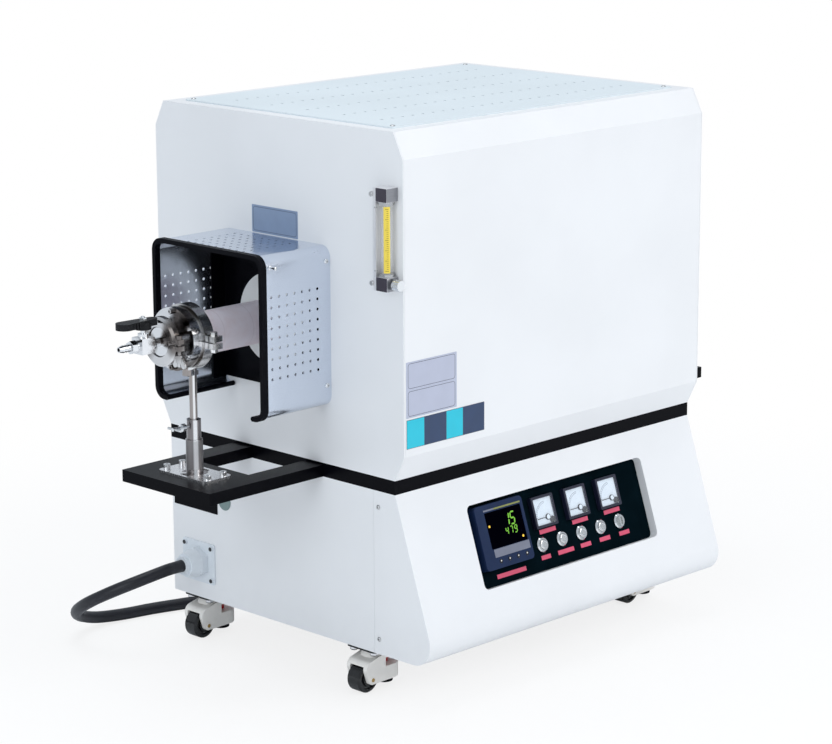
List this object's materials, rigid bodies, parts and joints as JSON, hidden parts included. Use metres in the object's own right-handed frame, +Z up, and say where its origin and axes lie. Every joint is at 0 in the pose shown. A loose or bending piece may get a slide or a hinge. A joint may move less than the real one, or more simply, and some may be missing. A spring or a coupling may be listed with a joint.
{
  "type": "tube furnace",
  "caption": "Laboratory tube furnace on levelling casters, with a raked control front, a guarded ceramic work tube, sealed end flanges with gas valves, and a flow meter.",
  "frame": {"origin": "on the floor under the middle of the furnace, centred on its bounding box without the supply cable", "axes": "+Z up, +X along the work tube towards the right-hand end, the control front faces -Y"},
  "size_m": [1.2038, 0.7855, 0.804],
  "materials": {
    "white_paint": "satin",
    "black_paint": "satin",
    "panel_black": "matte",
    "controller_grey": "satin",
    "key_grey": "matte",
    "needle_black": "matte",
    "bright_metal": "polished",
    "button_metal": "satin",
    "fibre_board": "matte",
    "element_grey": "matte",
    "alumina": "satin",
    "stainless": "satin",
    "turned_steel": "gloss",
    "black_rubber": "matte",
    "flow_body": "satin",
    "clear_plastic": "gloss",
    "float_dark": "satin",
    "gland_white": "satin",
    "plug_blue": "satin",
    "core_steel": "matte",
    "caster_ivory": "satin",
    "caster_black": "satin",
    "caster_red": "satin",
    "lever_black": "satin"
  },
  "bodies": {
    "furnace": {"belt_frame": "black_paint", "upper_housing": "white_paint", "top_vent_panel": "white_paint", "lower_cabinet": "white_paint", "front_fascia": "white_paint", "control_panel": "panel_black", "controller_case": "controller_grey", "meter_cases": "panel_black", "button_bezels": "bright_metal", "insulation": "fibre_board", "heating_elements": "element_grey", "furnace_tube": "alumina", "end_plates": "black_paint", "guards": "stainless", "guard_trims": "black_rubber", "sealing_flanges": "turned_steel", "gas_fittings": "turned_steel", "kf_clamps": "turned_steel", "tube_clamp_caps": "stainless", "post_sockets": "stainless", "rotameter_body": "flow_body", "rotameter_tube": "clear_plastic", "cable_gland": "gland_white", "cord_run": "black_rubber", "cord_coil": "black_rubber", "cord_plug": "plug_blue", "power_unit": "core_steel", "caster_plates": "black_paint"},
    "fork_front_left": {"fork_front_left": "caster_ivory"},
    "fork_front_right": {"fork_front_right": "caster_ivory"},
    "fork_rear_left": {"fork_rear_left": "caster_ivory"},
    "fork_rear_right": {"fork_rear_right": "caster_ivory"},
    "wheel_front_left": {"wheel_front_left": "caster_black"},
    "wheel_front_right": {"wheel_front_right": "caster_black"},
    "wheel_rear_left": {"wheel_rear_left": "caster_black"},
    "wheel_rear_right": {"wheel_rear_right": "caster_black"},
    "foot_front_left": {"foot_front_left": "caster_red"},
    "foot_front_right": {"foot_front_right": "caster_red"},
    "foot_rear_left": {"foot_rear_left": "caster_red"},
    "foot_rear_right": {"foot_rear_right": "caster_red"},
    "push_button_1": {"push_button_1": "button_metal"},
    "push_button_2": {"push_button_2": "button_metal"},
    "push_button_3": {"push_button_3": "button_metal"},
    "push_button_4": {"push_button_4": "button_metal"},
    "key_switch": {"key_switch": "button_metal"},
    "controller_key_1": {"controller_key_1": "key_grey"},
    "controller_key_2": {"controller_key_2": "key_grey"},
    "controller_key_3": {"controller_key_3": "key_grey"},
    "controller_key_4": {"controller_key_4": "key_grey"},
    "meter_needle_1": {"meter_needle_1": "needle_black"},
    "meter_needle_2": {"meter_needle_2": "needle_black"},
    "meter_needle_3": {"meter_needle_3": "needle_black"},
    "left_valve_lever": {"left_valve_lever": "lever_black"},
    "right_valve_lever": {"right_valve_lever": "lever_black"},
    "rotameter_float": {"rotameter_float": "float_dark"},
    "rotameter_knob": {"rotameter_knob": "bright_metal"},
    "left_post_rod": {"left_post_rod": "stainless"},
    "right_post_rod": {"right_post_rod": "stainless"},
    "left_clamp_screw": {"left_clamp_screw": "bright_metal"},
    "right_clamp_screw": {"right_clamp_screw": "bright_metal"}
  },
  "joints": [
    {"name": "swivel_front_left", "type": "hinge", "parent": "furnace", "child": "fork_front_left", "pos_m": [-0.284, -0.13593, 0.058], "axis": [0, 0, 1], "continuous": true},
    {"name": "roll_front_left", "type": "hinge", "parent": "fork_front_left", "child": "wheel_front_left", "pos_m": [-0.307, -0.13593, 0.0205], "axis": [0, 1, 0], "continuous": true},
    {"name": "foot_screw_front_left", "type": "slide", "parent": "fork_front_left", "child": "foot_front_left", "axis": [0, 0, -1], "range_m": [0, 0.008]},
    {"name": "swivel_front_right", "type": "hinge", "parent": "furnace", "child": "fork_front_right", "pos_m": [0.284, -0.13593, 0.058], "axis": [0, 0, 1], "continuous": true},
    {"name": "roll_front_right", "type": "hinge", "parent": "fork_front_right", "child": "wheel_front_right", "pos_m": [0.261, -0.13593, 0.0205], "axis": [0, 1, 0], "continuous": true},
    {"name": "foot_screw_front_right", "type": "slide", "parent": "fork_front_right", "child": "foot_front_right", "axis": [0, 0, -1], "range_m": [0, 0.008]},
    {"name": "swivel_rear_left", "type": "hinge", "parent": "furnace", "child": "fork_rear_left", "pos_m": [-0.284, 0.21307, 0.058], "axis": [0, 0, 1], "continuous": true},
    {"name": "roll_rear_left", "type": "hinge", "parent": "fork_rear_left", "child": "wheel_rear_left", "pos_m": [-0.307, 0.21307, 0.0205], "axis": [0, 1, 0], "continuous": true},
    {"name": "foot_screw_rear_left", "type": "slide", "parent": "fork_rear_left", "child": "foot_rear_left", "axis": [0, 0, -1], "range_m": [0, 0.008]},
    {"name": "swivel_rear_right", "type": "hinge", "parent": "furnace", "child": "fork_rear_right", "pos_m": [0.284, 0.21307, 0.058], "axis": [0, 0, 1], "continuous": true},
    {"name": "roll_rear_right", "type": "hinge", "parent": "fork_rear_right", "child": "wheel_rear_right", "pos_m": [0.261, 0.21307, 0.0205], "axis": [0, 1, 0], "continuous": true},
    {"name": "foot_screw_rear_right", "type": "slide", "parent": "fork_rear_right", "child": "foot_rear_right", "axis": [0, 0, -1], "range_m": [0, 0.008]},
    {"name": "button_1_press", "type": "slide", "parent": "furnace", "child": "push_button_1", "axis": [0, 0.9489, -0.3156], "range_m": [0, 0.0025], "stiffness_N_per_m": 1000, "springref_m": -0.001},
    {"name": "button_2_press", "type": "slide", "parent": "furnace", "child": "push_button_2", "axis": [0, 0.9489, -0.3156], "range_m": [0, 0.0025], "stiffness_N_per_m": 1000, "springref_m": -0.001},
    {"name": "button_3_press", "type": "slide", "parent": "furnace", "child": "push_button_3", "axis": [0, 0.9489, -0.3156], "range_m": [0, 0.0025], "stiffness_N_per_m": 1000, "springref_m": -0.001},
    {"name": "button_4_press", "type": "slide", "parent": "furnace", "child": "push_button_4", "axis": [0, 0.9489, -0.3156], "range_m": [0, 0.0025], "stiffness_N_per_m": 1000, "springref_m": -0.001},
    {"name": "key_turn", "type": "hinge", "parent": "furnace", "child": "key_switch", "pos_m": [0.1245, -0.23714, 0.17894], "axis": [0, -0.9489, 0.3156], "range_deg": [-90, 0]},
    {"name": "controller_key_1_press", "type": "slide", "parent": "furnace", "child": "controller_key_1", "axis": [0, 0.9489, -0.3156], "range_m": [0, 0.0008], "stiffness_N_per_m": 1000, "springref_m": -0.0004},
    {"name": "controller_key_2_press", "type": "slide", "parent": "furnace", "child": "controller_key_2", "axis": [0, 0.9489, -0.3156], "range_m": [0, 0.0008], "stiffness_N_per_m": 1000, "springref_m": -0.0004},
    {"name": "controller_key_3_press", "type": "slide", "parent": "furnace", "child": "controller_key_3", "axis": [0, 0.9489, -0.3156], "range_m": [0, 0.0008], "stiffness_N_per_m": 1000, "springref_m": -0.0004},
    {"name": "controller_key_4_press", "type": "slide", "parent": "furnace", "child": "controller_key_4", "axis": [0, 0.9489, -0.3156], "range_m": [0, 0.0008], "stiffness_N_per_m": 1000, "springref_m": -0.0004},
    {"name": "needle_1_swing", "type": "hinge", "parent": "furnace", "child": "meter_needle_1", "pos_m": [-0.0248, -0.22556, 0.21376], "axis": [0, -0.9489, 0.3156], "range_deg": [-90, 0], "stiffness_Nm_per_rad": 0.0001, "springref_deg": 11.46},
    {"name": "needle_2_swing", "type": "hinge", "parent": "furnace", "child": "meter_needle_2", "pos_m": [0.0455, -0.22556, 0.21376], "axis": [0, -0.9489, 0.3156], "range_deg": [-90, 0], "stiffness_Nm_per_rad": 0.0001, "springref_deg": 11.46},
    {"name": "needle_3_swing", "type": "hinge", "parent": "furnace", "child": "meter_needle_3", "pos_m": [0.1158, -0.22556, 0.21376], "axis": [0, -0.9489, 0.3156], "range_deg": [-90, 0], "stiffness_Nm_per_rad": 0.0001, "springref_deg": 11.46},
    {"name": "left_valve_turn", "type": "hinge", "parent": "furnace", "child": "left_valve_lever", "pos_m": [-0.5579, 0.02407, 0.516], "axis": [0, 0, -1], "range_deg": [0, 90]},
    {"name": "right_valve_turn", "type": "hinge", "parent": "furnace", "child": "right_valve_lever", "pos_m": [0.5579, 0.02407, 0.516], "axis": [0, 0, 1], "range_deg": [0, 90]},
    {"name": "float_rise", "type": "slide", "parent": "furnace", "child": "rotameter_float", "axis": [0, 0, 1], "range_m": [0, 0.066]},
    {"name": "flow_knob_turn", "type": "hinge", "parent": "furnace", "child": "rotameter_knob", "pos_m": [-0.326, -0.21943, 0.5985], "axis": [0, -1, 0], "range_deg": [0, 720]},
    {"name": "left_post_slide", "type": "slide", "parent": "furnace", "child": "left_post_rod", "axis": [0, 0, -1], "range_m": [0, 0.03]},
    {"name": "left_clamp_screw_turn", "type": "hinge", "parent": "furnace", "child": "left_clamp_screw", "pos_m": [-0.472, 0.02407, 0.389], "axis": [-1, 0, 0], "range_deg": [0, 720]},
    {"name": "right_post_slide", "type": "slide", "parent": "furnace", "child": "right_post_rod", "axis": [0, 0, -1], "range_m": [0, 0.03]},
    {"name": "right_clamp_screw_turn", "type": "hinge", "parent": "furnace", "child": "right_clamp_screw", "pos_m": [0.472, 0.02407, 0.389], "axis": [1, 0, 0], "range_deg": [0, 720]}
  ]
}
